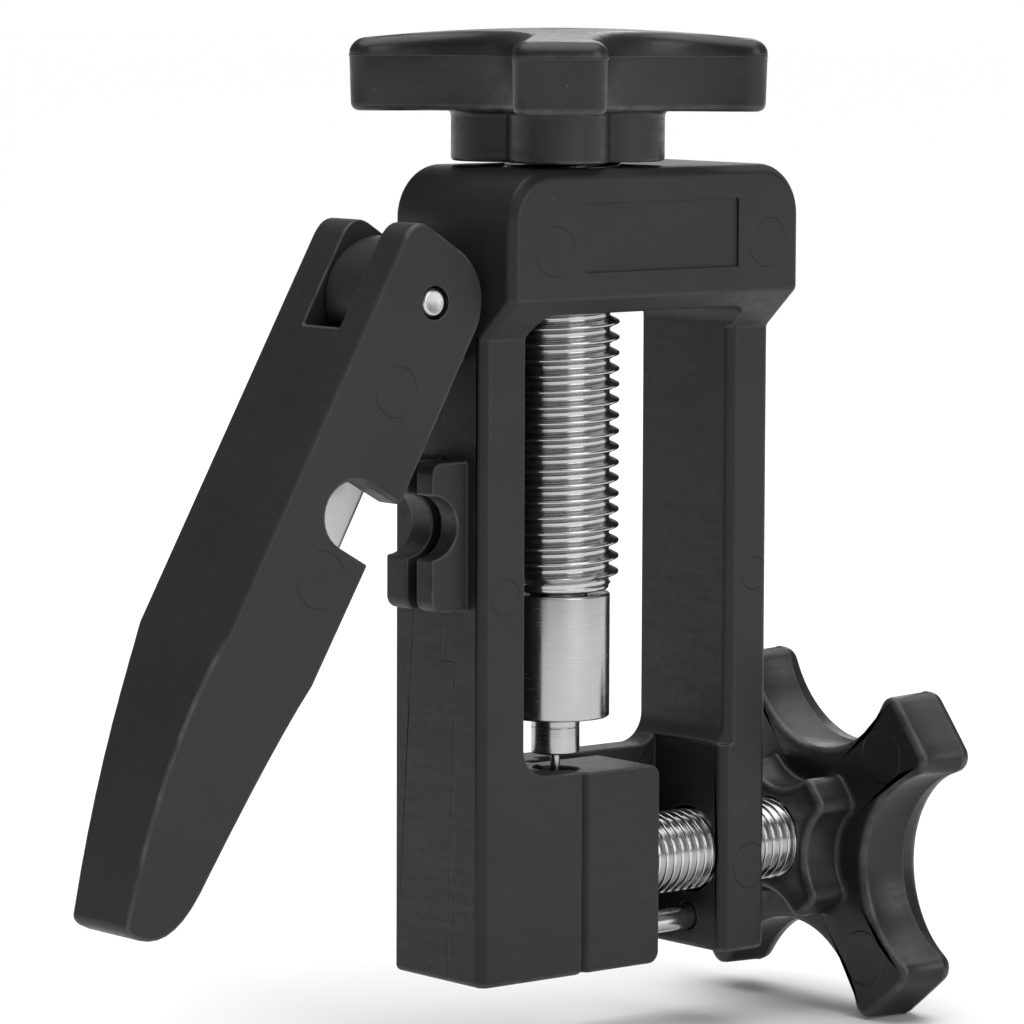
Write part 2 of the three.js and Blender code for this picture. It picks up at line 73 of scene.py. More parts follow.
SPINDLE_LOW, SPINDLE_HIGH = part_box("spindle_screw")
PRESS_AXIS = (SPINDLE_LOW + SPINDLE_HIGH) / 2
TO_ROW = Matrix.Translation((PRESS_AXIS.x, PRESS_AXIS.y, 0)) @ Matrix.Scale(MM, 4)
FROM_ROW = TO_ROW.inverted()


def span(node):
    """A CAD node's lowest and highest corners, in millimetres from the press axis."""
    low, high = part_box(node)
    return FROM_ROW @ low, FROM_ROW @ high


# ------------------------------------------------------------------ mesh helpers
def new_object(name, bm):
    bmesh.ops.recalc_face_normals(bm, faces=bm.faces)
    mesh = bpy.data.meshes.new(name)
    bm.to_mesh(mesh)
    bm.free()
    obj = bpy.data.objects.new(name, mesh)
    bpy.context.scene.collection.objects.link(obj)
    return obj


def bm_of(obj):
    bm = bmesh.new()
    bm.from_mesh(obj.data)
    return bm


def apply_modifiers(obj):
    graph = bpy.context.evaluated_depsgraph_get()
    mesh = bpy.data.meshes.new_from_object(obj.evaluated_get(graph))
    obj.modifiers.clear()
    old = obj.data
    obj.data = mesh
    bpy.data.meshes.remove(old)


def carve(obj, cutters):
    """Cuts the cutters out of obj, all at once, and removes them."""
    for cutter in cutters[1:]:
        cutters[0].data = joined_mesh(cutters[0], cutter)
        bpy.data.objects.remove(cutter)
    modifier = obj.modifiers.new("carve", "BOOLEAN")
    modifier.object = cutters[0]
    modifier.operation = "DIFFERENCE"
    modifier.solver = "EXACT"
    modifier.use_self = True
    bpy.context.view_layer.update()
    apply_modifiers(obj)
    bpy.data.objects.remove(cutters[0])


def joined_mesh(first, second):
    bm = bm_of(first)
    bm.from_mesh(second.data)
    mesh = bpy.data.meshes.new(first.name)
    bm.to_mesh(mesh)
    bm.free()
    return mesh


def skin(bm, rings):
    """Quads between closed rings of equal length."""
    rows = [[bm.verts.new(p) for p in ring] for ring in rings]
    count = len(rows[0])
    for low, high in zip(rows, rows[1:]):
        for i in range(count):
            j = (i + 1) % count
            bm.faces.new((low[i], low[j], high[j], high[i]))
    return rows


def rounded(profile, radius):
    """Replaces each inner corner of a [r, z] profile by an arc of about that radius."""
    points = [Vector(p) for p in profile]
    out = [points[0]]
    for before, corner, after in zip(points, points[1:], points[2:]):
        a = before - corner
        b = after - corner
        reach = min(radius, a.length * 0.45, b.length * 0.45)
        start = corner + a.normalized() * reach
        end = corner + b.normalized() * reach
        for k in range(CORNER_STEPS + 1):
            t = k / CORNER_STEPS
            out.append(start * (1 - t) ** 2 + corner * 2 * t * (1 - t) + end * t ** 2)
    out.append(points[-1])
    return out


AXES = {"z": Matrix.Identity(4), "x": Matrix.Rotation(math.pi / 2, 4, "Y"),
        "y": Matrix.Rotation(-math.pi / 2, 4, "X")}


def turned(name, profile, edge=0.08, axis="z", at=(0, 0, 0), facets=96):
    """A lathe piece from [r, height] pairs, from axis to axis, with its corners eased."""
    bm = bmesh.new()
    rings = []
    for r, z in rounded(profile, edge):
        turn = [2 * math.pi * i / facets for i in range(facets)]
        rings.append([(max(r, 0) * math.cos(a), max(r, 0) * math.sin(a), z) for a in turn])
    skin(bm, rings)
    bmesh.ops.remove_doubles(bm, verts=bm.verts, dist=1e-4)
    bm.transform(Matrix.Translation(at) @ AXES[axis])
    return new_object(name, bm)


def block(low, high):
    bm = bmesh.new()
    size = Vector(high) - Vector(low)
    middle = (Vector(high) + Vector(low)) / 2
    place = Matrix.Translation(middle) @ Matrix.Diagonal((*size, 1))
    bmesh.ops.create_cube(bm, size=1, matrix=place)
    return new_object("cutter", bm)


def shaded(obj, angle):
    mesh = obj.data
    mesh.polygons.foreach_set("use_smooth", [True] * len(mesh.polygons))
    mesh.set_sharp_from_angle(angle=math.radians(angle))


def wear_and_highlight_edges(obj):
    """Marks the vertices of convex fillets, so that the plastic can be paler there, partly as rub wear and partly
    as a painted highlight.
    """
    bm = bm_of(obj)
    layer = bm.verts.layers.float.new("edge_wear_and_highlight")
    for vertex in bm.verts:
        bends = [e.calc_face_angle_signed(0) for e in vertex.link_edges if len(e.link_faces) == 2]
        bend = max(bends, default=0)
        small = max((f.calc_area() for f in vertex.link_faces), default=0) < SMALL_FACE
        vertex[layer] = 1.0 if bend > WEAR_AND_HIGHLIGHT_BEND and small else 0.0
    bm.to_mesh(obj.data)
    bm.free()


def moulded(node, name, width, weight_of):
    """A copy of a CAD node with its edges rounded by up to that width."""
    bm = bmesh.new()
    bm.from_mesh(frame["nodes"][node].data)
    bm.transform(FROM_ROW)
    bmesh.ops.remove_doubles(bm, verts=bm.verts, dist=1e-3)
    bmesh.ops.dissolve_limit(bm, angle_limit=FLAT, verts=bm.verts, edges=bm.edges)
    layer = bm.edges.layers.float.new("bevel_weight_edge")
    for edge in bm.edges:
        if len(edge.link_faces) == 2 and edge.calc_face_angle(0) > ROUNDED_FROM:
            edge[layer] = weight_of(*[v.co for v in edge.verts])
    obj = new_object(name, bm)
    bevel = obj.modifiers.new("edges", "BEVEL")
    bevel.width = width
    bevel.segments = 3
    bevel.limit_method = "WEIGHT"
    bevel.use_clamp_overlap = False
    bevel.loop_slide = False
    bevel.miter_outer = "MITER_ARC"
    bpy.context.view_layer.update()
    apply_modifiers(obj)
    return obj


def even_normals(obj, angle):
    """Corner normals from the areas of the faces that turn less than angle, so flats stay flat."""
    mesh = obj.data
    limit = math.cos(math.radians(angle))
    around = [[] for _ in mesh.vertices]
    faces = [(face.normal.copy(), face.area, tuple(face.vertices)) for face in mesh.polygons]
    for normal, area, corners in faces:
        for corner in corners:
            around[corner].append((normal, area))
    normals = []
    for normal, _, corners in faces:
        for corner in corners:
            near = [n * a for n, a in around[corner] if n.dot(normal) > limit]
            normals.append(sum(near, normal * 1e-6).normalized())
    mesh.normals_split_custom_set(normals)


def finish_piece(obj, body, slot, material, *nodes, wear_and_highlight=False, angle=SMOOTH_TO,
                 even=False):
    # Marks convex fillets to be painted paler: partly rub wear, partly a painted highlight.
    if wear_and_highlight:
        wear_and_highlight_edges(obj)
    shaded(obj, angle)
    if even:
        even_normals(obj, angle)
    obj.data.transform(TO_ROW)
    obj.data.materials.clear()
    obj.data.materials.append(material)
    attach(obj, body)
    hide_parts(*nodes)
    return obj


# ------------------------------------------------------------------ materials
PLASTIC_TONE = 0.014
RING_WIDTH = 0.11 * MM
RING_DEPTH = 0.04 * MM


class Nodes:
    """Short calls for building a material's nodes."""

    def __init__(self, name):
        self.material = bpy.data.materials.new(name)
        self.material.use_nodes = True
        self.tree = self.material.node_tree
        self.shader = self.tree.nodes["Principled BSDF"]
        self.place = self.add("ShaderNodeTexCoord").outputs["Object"]

    def add(self, kind, **settings):
        node = self.tree.nodes.new(kind)
        for key, value in settings.items():
            setattr(node, key, value)
        return node

    def link(self, source, target):
        self.tree.links.new(source, target)

    def stretched(self, scale):
        mapping = self.add("ShaderNodeMapping")
        mapping.inputs["Scale"].default_value = scale
        self.link(self.place, mapping.inputs["Vector"])
        return mapping.outputs["Vector"]

    def noise(self, scale, detail=3, rough=0.5, place=None):
        node = self.add("ShaderNodeTexNoise")
        node.inputs["Scale"].default_value = scale
        node.inputs["Detail"].default_value = detail
        node.inputs["Roughness"].default_value = rough
        self.link(place or self.place, node.inputs["Vector"])
        return node.outputs["Fac"]

    def ramp(self, source, low, high, start, end):
        node = self.add("ShaderNodeMapRange")
        for key, value in (("From Min", low), ("From Max", high),
                           ("To Min", start), ("To Max", end)):
            node.inputs[key].default_value = value
        self.link(source, node.inputs["Value"])
        return node.outputs["Result"]

    def math(self, kind, first, second):
        node = self.add("ShaderNodeMath", operation=kind)
        for socket, value in zip(node.inputs, (first, second)):
            if isinstance(value, (int, float)):
                socket.default_value = value
            else:
                self.link(value, socket)
        return node.outputs[0]

    def mix(self, amount, first, second):
        node = self.add("ShaderNodeMix", data_type="RGBA")
        sockets = {s.identifier: s for s in node.inputs}
        self.link(amount, sockets["Factor_Float"])
        for key, value in (("A_Color", first), ("B_Color", second)):
            if isinstance(value, tuple):
                sockets[key].default_value = (*value, 1)
            else:
                self.link(value, sockets[key])
        return {s.identifier: s for s in node.outputs}["Result_Color"]

    def bump(self, height, strength, distance, under=None):
        node = self.add("ShaderNodeBump")
        node.inputs["Strength"].default_value = strength
        node.inputs["Distance"].default_value = distance
        self.link(height, node.inputs["Height"])
        if under:
            self.link(under, node.inputs["Normal"])
        return node.outputs["Normal"]

    def set(self, **values):
        for key, value in values.items():
            socket = self.shader.inputs[key.replace("_", " ")]
            if isinstance(value, (int, float, tuple)):
                socket.default_value = value
            else:
                self.link(value, socket)
        return self.material


def black_plastic(name, tone, rough, grain, marks=(), seam=()):
    """Moulded black plastic; each mark is a faint ring, as (centre, radius) in millimetres."""
    n = Nodes(name)
    cloud = n.ramp(n.noise(90, 4), 0.3, 0.7, 0, 1)
    fine = n.noise(5200, 2, 0.6)
    coarse = n.noise(1700, 3, 0.55)
    streak = n.noise(140, 3, 0.6, n.stretched((1, 1, 14)))
    body = n.mix(cloud, (tone * 0.86,) * 3, (tone * 1.16,) * 3)
    fibre = n.ramp(fine, 0.58, 0.78, 0, 0.5)
    body = n.mix(fibre, body, (tone * 1.9,) * 3)
    dots = n.add("ShaderNodeTexVoronoi", feature="F1")
    dots.inputs["Scale"].default_value = 620
    n.link(n.place, dots.inputs["Vector"])
    speck = n.ramp(dots.outputs["Distance"], 0.035, 0.075, 1, 0)
    some = n.ramp(n.noise(310, 1), 0.6, 0.66, 0, 0.55)
    body = n.mix(n.math("MULTIPLY", speck, some), body, (0.11,) * 3)
    # Edge wear and painted highlight: convex fillets are painted up to six times paler, partly as rub wear, partly
    # standing in for light catching the rounded edges.
    wear_and_highlight = n.add("ShaderNodeAttribute", attribute_name="edge_wear_and_highlight").outputs["Fac"]
    rubbed_and_highlit = n.math("MULTIPLY", wear_and_highlight, n.ramp(n.noise(420, 4, 0.6), 0.35, 0.65, 0.15, 0.75))
    body = n.mix(rubbed_and_highlit, body, (tone * 6,) * 3)
    gloss = n.math("ADD", n.ramp(coarse, 0.3, 0.7, rough - 0.06, rough + 0.06),
                   n.ramp(streak, 0.35, 0.7, -0.04, 0.05))
    relief = n.bump(coarse, 0.35, grain * 1.6)
    relief = n.bump(fine, 0.5, grain, relief)
    if marks:
        line = witness_lines(n, marks)
        for start, end in seam:
            line = n.math("MAXIMUM", line, seam_line(n, start, end))
        relief = n.bump(n.math("SUBTRACT", 1.0, line), 0.8, RING_DEPTH, relief)
        # Painted shade: the ring and seam grooves are also painted near-black, standing in for the shade inside
        # them; the bump above is their real relief.
        body = n.mix(n.math("MULTIPLY", line, 0.8), body, (tone * 0.1,) * 3)
    return n.set(Base_Color=body, Roughness=gloss, Normal=relief, IOR=1.5, Specular_IOR_Level=0.36)


def witness_lines(n, marks):
    """1 on, and 0 away from, the ring that each mark's ball leaves on the skin it is centred on."""
    total = 0.0
    for centre, radius in marks:
        away = n.add("ShaderNodeVectorMath", operation="DISTANCE")
        n.link(n.place, away.inputs[0])
        away.inputs[1].default_value = TO_ROW @ Vector(centre)
        off = n.math("ABSOLUTE", n.math("SUBTRACT", away.outputs["Value"], radius * MM), 0.0)
        total = n.math("MAXIMUM", n.ramp(off, 0, RING_WIDTH, 1, 0), total)
    return total


def seam_line(n, start, end):
    """1 on a straight line drawn on the left face between two (y, z) points."""
    axes = n.add("ShaderNodeSeparateXYZ")
    n.link(n.place, axes.inputs[0])
    start, end = (TO_ROW @ Vector((0, *start)), TO_ROW @ Vector((0, *end)))
    along, across = (2, 1) if abs(end.z - start.z) > abs(end.y - start.y) else (1, 2)
    slope = (end[across] - start[across]) / (end[along] - start[along])
    run = n.math("SUBTRACT", axes.outputs[along], start[along])
    middle = n.math("ADD", n.math("MULTIPLY", run, slope), start[across])
    off = n.math("SUBTRACT", axes.outputs[across], middle)
    line = n.ramp(n.math("ABSOLUTE", off, 0.0), 0, RING_WIDTH, 1, 0)
    low, high = sorted((start[along], end[along]))
    for value, limit, kind in ((axes.outputs[along], low, "GREATER_THAN"),
                               (axes.outputs[along], high, "LESS_THAN"),
                               (axes.outputs[0], LEFT_FACE + 0.1 * MM, "LESS_THAN")):
        line = n.math("MULTIPLY", line, n.math(kind, value, limit))
    return line


def metal(name, tone, rough, stretch, marks, spread=0.05):
    """Machined metal: stretch squeezes the tool marks along the piece's axis."""
    n = Nodes(name)
    lines = n.noise(900, 3, 0.6, n.stretched(stretch))
    smear = n.noise(260, 4, 0.6)
    colour = n.mix(n.ramp(smear, 0.3, 0.75, 0, 1), (tone * 0.9,) * 3, (tone,) * 3)
    gloss = n.math("ADD", n.ramp(lines, 0.3, 0.7, rough - spread, rough + spread),
                   n.ramp(smear, 0.45, 0.8, 0, spread))
    return n.set(Base_Color=colour, Roughness=gloss, Metallic=1.0, Normal=n.bump(lines, 0.3, marks))


PLATING = metal("nickel_plating", 0.50, 0.17, (1, 1, 6), 2.0e-6)
SIDE_PLATING = metal("zinc_plating", 0.66, 0.18, (6, 1, 1), 2.0e-6)
POLISHED = metal("polished_steel", 0.46, 0.22, (0.3, 0.3, 9), 3.0e-6)
STEEL = metal("machined_steel", 0.62, 0.30, (1, 1, 1), 3.0e-6)
BLADE_STEEL = metal("blade_steel", 0.5, 0.34, (9, 1, 0.4), 3.0e-6)

# ------------------------------------------------------------------ frame
FRAME_MARKS = (((-7.2, -8.7, 70.1), 2.4), ((19.5, -8.7, 70.2), 2.4), ((21.7, -5.0, 37.5), 1.8),
               ((21.6, -5.0, 8.5), 2.35), ((-9.74, -5.0, 37.3), 1.9))
# The mould seam down the left face, jogged below the anvil block: start and end as (y, z).
SEAM = (((1.9, 50.4), (1.9, 59.6)), ((1.95, 31.0), (1.95, 35.8)), ((-0.16, 31.0), (1.95, 31.0)),
        ((0.94, 0.3), (-0.16, 31.0)))
LEFT_FACE = next(m for m in frame["record"]["mounts"] if m["name"] == "left_face")["pos_m"][0]
NYLON = black_plastic("black_nylon", PLASTIC_TONE, 0.50, 1.4e-5, FRAME_MARKS, SEAM)
HINGE_LOW, HINGE_HIGH = span("hinge_pin")
HINGE = (HINGE_LOW + HINGE_HIGH) / 2


def frame_edges(a, b):
    """Share of the full edge rounding: most at the base, less on small features."""
    middle = (a + b) / 2
    on_label = middle.y < -7.9 and -4 < middle.x < 16.2 and 67.5 < middle.z < 75
    in_bore = math.hypot(middle.x, middle.y) < 8 and middle.z > 60
    in_foot_bore = middle.x > 18.6 and a.z < 15 and math.hypot(middle.y - 1.1, middle.z - 9.8) < 5.3
    if on_label or in_bore or in_foot_bore:
        return 0.0
    if max(a.z, b.z) < 0.01:
        return 0.95
    return 0.42


def frame_piece():
    body = moulded("frame", "frame_moulding", 0.62, frame_edges)
    return finish_piece(body, "frame_body", "nylon", NYLON, "frame", wear_and_highlight=True, even=True)


def carried(node, material):
    """A hidden CAD node that keeps its shape and gets its own finish."""
    mesh = frame["nodes"][node].data
    mesh.materials.clear()
    mesh.materials.append(material)


# ------------------------------------------------------------------ lever
LEVER_SWING = next(j for j in frame["joints"] if j["name"] == "lever_hinge")["range_deg"]
LEVER_OPEN = -math.radians(LEVER_SWING[0])
LEVER_PLACE = Matrix.Translation((HINGE.x, 0, HINGE.z)) @ Matrix.Rotation(LEVER_OPEN, 4, "Y")
LEVER_LOW, LEVER_HIGH = span("cutter_lever")
LEVER_MARKS = [(LEVER_PLACE @ Vector((x, LEVER_LOW.y, z)), r)
               for x, z, r in ((0, -9.2, 2.4), (0.6, -28.2, 2.7))]
LEVER_NYLON = black_plastic("black_nylon_lever", PLASTIC_TONE, 0.50, 1.4e-5, LEVER_MARKS)


def lever_edges(a, b):
    """Share of the full rounding: the outer edges of the two cheeks get most of it."""
    outer = max(abs(v.y - (LEVER_LOW.y + LEVER_HIGH.y) / 2) for v in (a, b))
    both = min(abs(v.y - (LEVER_LOW.y + LEVER_HIGH.y) / 2) for v in (a, b))
    local = [LEVER_PLACE.inverted() @ v for v in (a, b)]
    near_pins = any(math.hypot(v.x + 1.9, v.z - z) < 1.4 for v in local for z in (-28.7, -14.3))
    on_ribs = outer < 3.0 and all(-31.5 < v.z < -11.5 for v in local)
    if near_pins or on_ribs:
        return 0.0
    if all(math.hypot(v.x, v.z) < 2.2 for v in local):
        return 0.2
    on_grip = max(v.z for v in local) < -36 and both > 4.1
    return 1.0 if both > 6.9 or on_grip or abs(a.y - b.y) > 3 else 0.5


def lever_piece():
    body = moulded("cutter_lever", "lever_moulding", 0.42, lever_edges)
    gate = bmesh.new()
    bmesh.ops.create_icosphere(gate, subdivisions=3, radius=0.5,
                               matrix=LEVER_PLACE @ Matrix.Translation((-6.75, 3.2, -14.3)))
    carve(body, [new_object("cutter", gate)])
    return finish_piece(body, "lever", "nylon", LEVER_NYLON, "cutter_lever", wear_and_highlight=True,
                        even=True)


def hinge_pin_piece():
    half = (HINGE_HIGH.y - HINGE_LOW.y) / 2
    profile = [(0, -half + 0.12), (0.45, -half + 0.1), (1.1, -half), (1.38, -half + 0.3),
               (1.4, -half + 0.7), (1.4, half - 0.7), (1.38, half - 0.3), (1.1, half),
               (0.45, half - 0.1), (0, half - 0.12)]
    pin = turned("hinge_pin_peened", profile, edge=0.12, axis="y", at=HINGE)
    finish_piece(pin, "frame_body", "steel", STEEL, "hinge_pin")


def blade_pieces():
    blade = moulded("blade", "blade_ground", 0.05, lambda a, b: 1.0)
    finish_piece(blade, "lever", "blade_steel", BLADE_STEEL, "blade")
    for node in ("blade_pin_lower", "blade_pin_upper"):
        low, high = span(node)
        half = (high.y - low.y) / 2
        profile = [(0, -half), (0.8, -half), (0.8, half), (0.35, half), (0.3, half - 0.4),
                   (0, half - 0.45)]
        pin = turned(node + "_turned", profile, edge=0.1, axis="y", at=(low + high) / 2, facets=48)
        finish_piece(pin, "lever", "steel", STEEL, node)


# ------------------------------------------------------------------ threads
def tooth(share, radius, pitch):
    """Radius of an external thread at a share of one pitch from the middle of a crest."""
    away = min(share, 1 - share)
    fall = max(0.0, min(1.0, (away - 0.06) / 0.31))
    eased = fall * fall * (3 - 2 * fall)
    return radius - 0.60 * pitch * (0.75 * fall + 0.25 * eased)


def thread(radius, pitch, low, high, ends, facets=96):
    """A helical thread as a closed solid along Z; ends(z) is the largest radius at each height."""
    half = [0, 0.04, 0.07, 0.10, 0.16, 0.22, 0.28, 0.33, 0.365, 0.40, 0.45, 0.5]
    shares = half + [1 - t for t in reversed(half[1:-1])]
    turns = math.ceil((high - low) / pitch) + 4
    bm = bmesh.new()
    rows = []
    for turn in range(turns):
        for share in shares:
            row = []
            for i in range(facets):
                angle = 2 * math.pi * i / facets
                z = low + (turn - 2 + share + i / facets) * pitch
                r = min(tooth(share, radius, pitch), ends(z))
                row.append(bm.verts.new((r * math.cos(angle), r * math.sin(angle), z)))
            rows.append(row)
    for j in range(len(rows) - 1):
        for i in range(facets - 1):
            bm.faces.new((rows[j][i], rows[j][i + 1], rows[j + 1][i + 1], rows[j + 1][i]))
        if j + len(shares) + 1 < len(rows):
            above = j + len(shares)
            bm.faces.new((rows[j][-1], rows[above][0], rows[above + 1][0], rows[j + 1][-1]))
    for height, normal in ((low, (0, 0, -1)), (high, (0, 0, 1))):
        everything = bm.verts[:] + bm.edges[:] + bm.faces[:]
        bmesh.ops.bisect_plane(bm, geom=everything, dist=1e-5, plane_co=(0, 0, height),
                               plane_no=normal, clear_outer=True)
    open_edges = [e for e in bm.edges if len(e.link_faces) == 1]
    bmesh.ops.holes_fill(bm, edges=open_edges, sides=0)
    return bm


def threaded(name, bm, axis, at):
    bm.transform(Matrix.Translation(at) @ AXES[axis])
    return new_object(name, bm)


def joined(name, parts):
    for part in parts[1:]:
        parts[0].data = joined_mesh(parts[0], part)
        bpy.data.objects.remove(part)
    parts[0].name = name
    return parts[0]


SCREW_R = 6.0
SCREW_PITCH = 1.5


def spindle_piece():
    low, high = span("spindle_screw")
    thread_low, thread_high = 37.5, 79.5

    def ends(z):
        start = 5.05 + max(0.0, z - thread_low) * 0.8
        return min(SCREW_R, start, SCREW_R - max(0.0, z - (thread_high - 0.6)))

    helix = thread(SCREW_R, SCREW_PITCH, thread_low, thread_high, ends)
    screw = threaded("thread", helix, "z", (0, 0, 0))
    neck = turned("neck", [(0, low.z), (2.4, low.z), (3.0, low.z + 0.6), (3.0, 31.5),
                           (2.2, 31.5), (2.2, 34.5), (3.0, 34.5), (3.0, 37.1), (4.9, 37.1),
                           (5.08, 37.3), (5.08, 37.6), (0, 37.6)], edge=0.1)
    shank = turned("shank", [(0, 79.3), (5.05, 79.3), (5.5, 79.6), (5.5, high.z), (0, high.z)],
                   edge=0.1)
    body = joined("spindle_threaded", [screw, neck, shank])
    return finish_piece(body, "spindle", "plating", PLATING, "spindle_screw", angle=50)


def clamp_screw_piece():
    low, high = span("clamp_screw")
    centre = (0, (low.y + high.y) / 2, (low.z + high.z) / 2)
    radius, pitch, start, stop = 4.0, 1.0, 10.2, 30.6

    def ends(x):
        return min(radius, radius - 0.7 + max(0.0, x - start), radius - max(0.0, x - (stop - 0.5)))

    screw = threaded("thread", thread(radius, pitch, start, stop, ends, 80), "x", centre)
    neck = turned("neck", [(0, low.x), (2.0, low.x), (2.4, low.x + 0.4), (2.4, 5.15),
                           (1.7, 5.15), (1.7, 6.65), (2.4, 6.65), (2.4, 10.3), (0, 10.3)],
                  edge=0.1, axis="x", at=centre, facets=64)
    shank = turned("shank", [(0, 30.4), (3.3, 30.4), (3.6, 30.7), (3.6, high.x), (0, high.x)],
                   edge=0.1, axis="x", at=centre, facets=64)
    body = joined("clamp_screw_threaded", [screw, neck, shank])
    return finish_piece(body, "clamp", "plating", SIDE_PLATING, "clamp_screw", angle=50)


# ------------------------------------------------------------------ press head
def press_head_pieces():
    low, high = span("swivel_collar")
    bore, seat = 3.2, 29.6
    collar = turned("collar_polished", [
        (0, seat), (0, low.z), (1.96, low.z), (2.1, low.z), (5.05, low.z), (5.2, low.z + 0.16),
        (5.2, high.z - 0.16), (5.04, high.z), (bore, high.z), (bore, seat), (0, seat)],
        edge=0.07, facets=128)
    hole = turned("cutter", [(0, 2.6), (1.3, 2.6), (1.3, 6), (0, 6)], edge=0.02, axis="y",
                  at=(0, 0, (low.z + high.z) / 2 + 2.2), facets=40)
    carve(collar, [hole])
    finish_piece(collar, "press_head", "polished_steel", POLISHED, "swivel_collar")

    low, high = span("collar_set_screw")
    middle = (low + high) / 2
    half = (high.y - low.y) / 2
    plug = turned("set_screw_socket", [
        (0, -half), (1.0, -half), (1.2, -half + 0.2), (1.2, half - 0.12), (1.1, half), (0, half)],
        edge=0.05, axis="y", at=middle, facets=48)
    socket = turned("cutter", [(0, half - 0.8), (0.68, half - 0.8), (0.68, half + 1),
                               (0, half + 1)], edge=0.0, axis="y", at=middle, facets=6)
    carve(plug, [socket])
    finish_piece(plug, "press_head", "steel", STEEL, "collar_set_screw")

    low, high = span("needle_holder")
    holder = turned("needle_holder_turned", [
        (0, low.z + 0.5), (0.5, low.z + 0.5), (0.5, low.z), (2.18, low.z), (2.35, low.z + 0.16),
        (2.35, 23.75), (2.31, 23.78), (2.31, 23.86), (2.35, 23.89), (2.35, 24.6), (1.9, 24.6),
        (1.9, high.z), (0, high.z)],
        edge=0.05)
    finish_piece(holder, "press_head", "polished_steel", POLISHED, "needle_holder")

    low, high = span("needle_pin")
    needle = turned("needle_ground", [
        (0, low.z), (0.16, low.z + 0.04), (0.34, low.z + 0.4), (0.45, low.z + 0.9),
        (0.45, high.z), (0, high.z)], edge=0.08, facets=48)
    finish_piece(needle, "press_head", "polished_steel", POLISHED, "needle_pin")


# ------------------------------------------------------------------ jaw
def jaw_edges(a, b):
    in_bore = any(0.3 < v.x < 9.0 and abs(v.y - 1.1) < 3.2 and 5 < v.z < 14 for v in (a, b))
    near_hole = all(math.hypot(v.x, v.y) < 2.3 for v in (a, b)) and abs(a.z - b.z) > 1
    return 0.0 if in_bore or near_hole else 0.6


def jaw_pieces():
    jaw = moulded("movable_jaw", "jaw_moulding", 0.5, jaw_edges)
    finish_piece(jaw, "jaw", "nylon", NYLON, "movable_jaw", wear_and_highlight=True, even=True)
    low, high = span("guide_pin")
    pin = turned("guide_pin_turned", [
        (0, low.x), (0.9, low.x), (1.25, low.x + 0.35), (1.25, high.x - 0.35), (0.9, high.x),
        (0, high.x)], edge=0.08, axis="x", at=(0, (low.y + high.y) / 2, (low.z + high.z) / 2),
        facets=64)
    finish_piece(pin, "jaw", "plating", SIDE_PLATING, "guide_pin")
    clip = moulded("screw_clip", "screw_clip_stamped", 0.12, lambda a, b: 1.0)
    finish_piece(clip, "jaw", "steel", STEEL, "screw_clip")


# ------------------------------------------------------------------ knobs
STAR = {"tip": 19.9, "valley_r": 10.05, "valley_at": 19.4, "fillet": 1.7}
STAR_HEIGHT = 7.8
STAR_CROWN = 1.1
STAR_EDGE = 1.3
STAR_LOW_EDGE = 0.75
DRAFT = math.tan(math.radians(1.8))
TOP_TURN, SIDE_TURN = math.radians(50.6), math.radians(51.2)
SIDE_HUB = {"tip": 8.6, "valley_r": 5.9, "valley_at": 11.2, "fillet": 1.2}


def arc(centre, radius, start, stop, steps, skip=0):
    return [(centre[0] + radius * math.cos(start + (stop - start) * k / steps),
             centre[1] + radius * math.sin(start + (stop - start) * k / steps))
            for k in range(skip, steps + 1 - skip)]


def star_outline(tip, valley_r, valley_at, fillet, inset=0.0):
    """Four flat-tipped lobes joined by round valleys, drawn in by inset, always as many points."""
    valley = valley_at * math.sqrt(0.5)
    corner_x = tip - fillet
    corner_y = valley - math.sqrt((valley_r + fillet) ** 2 - (corner_x - valley) ** 2)
    meet = math.atan2(valley - corner_y, valley - corner_x)
    points = []
    for lobe in range(4):
        a = lobe * math.pi / 2
        turn = Matrix.Rotation(a, 2)
        low = turn @ Vector((corner_x, -corner_y))
        high = turn @ Vector((corner_x, corner_y))
        dip = turn @ Vector((valley, valley))
        points += arc(low, fillet - inset, a - meet, a, 7)
        end, start = Vector(points[-1]), high + turn @ Vector((fillet - inset, 0))
        points += [tuple(end.lerp(start, t)) for t in (0.25, 0.5, 0.75)]
        points += arc(high, fillet - inset, a, a + meet, 7)
        points += arc(dip, valley_r + inset, a + meet + math.pi, a + 1.5 * math.pi - meet, 30,
                      skip=1)
    return points


def petal_outline(like, reach, radius, core, inset=0.0):
    """Four round petals about a core, sampled at the angles of another outline."""
    points = []
    for x, y in like:
        angle = math.atan2(y, x)
        off = (angle + math.pi / 4) % (math.pi / 2) - math.pi / 4
        side = reach * math.sin(off)
        bulge = reach * math.cos(off) + math.sqrt(max(radius ** 2 - side ** 2, 0))
        r = (bulge ** 26 + core ** 26) ** (1 / 26) - inset
        points.append((r * math.cos(angle), r * math.sin(angle)))
    return points


def circle_like(like, radius):
    return [(radius * x / math.hypot(x, y), radius * y / math.hypot(x, y)) for x, y in like]


def blended(first, second, share):
    return [(a * (1 - share) + c * share, b * (1 - share) + d * share)
            for (a, b), (c, d) in zip(first, second)]


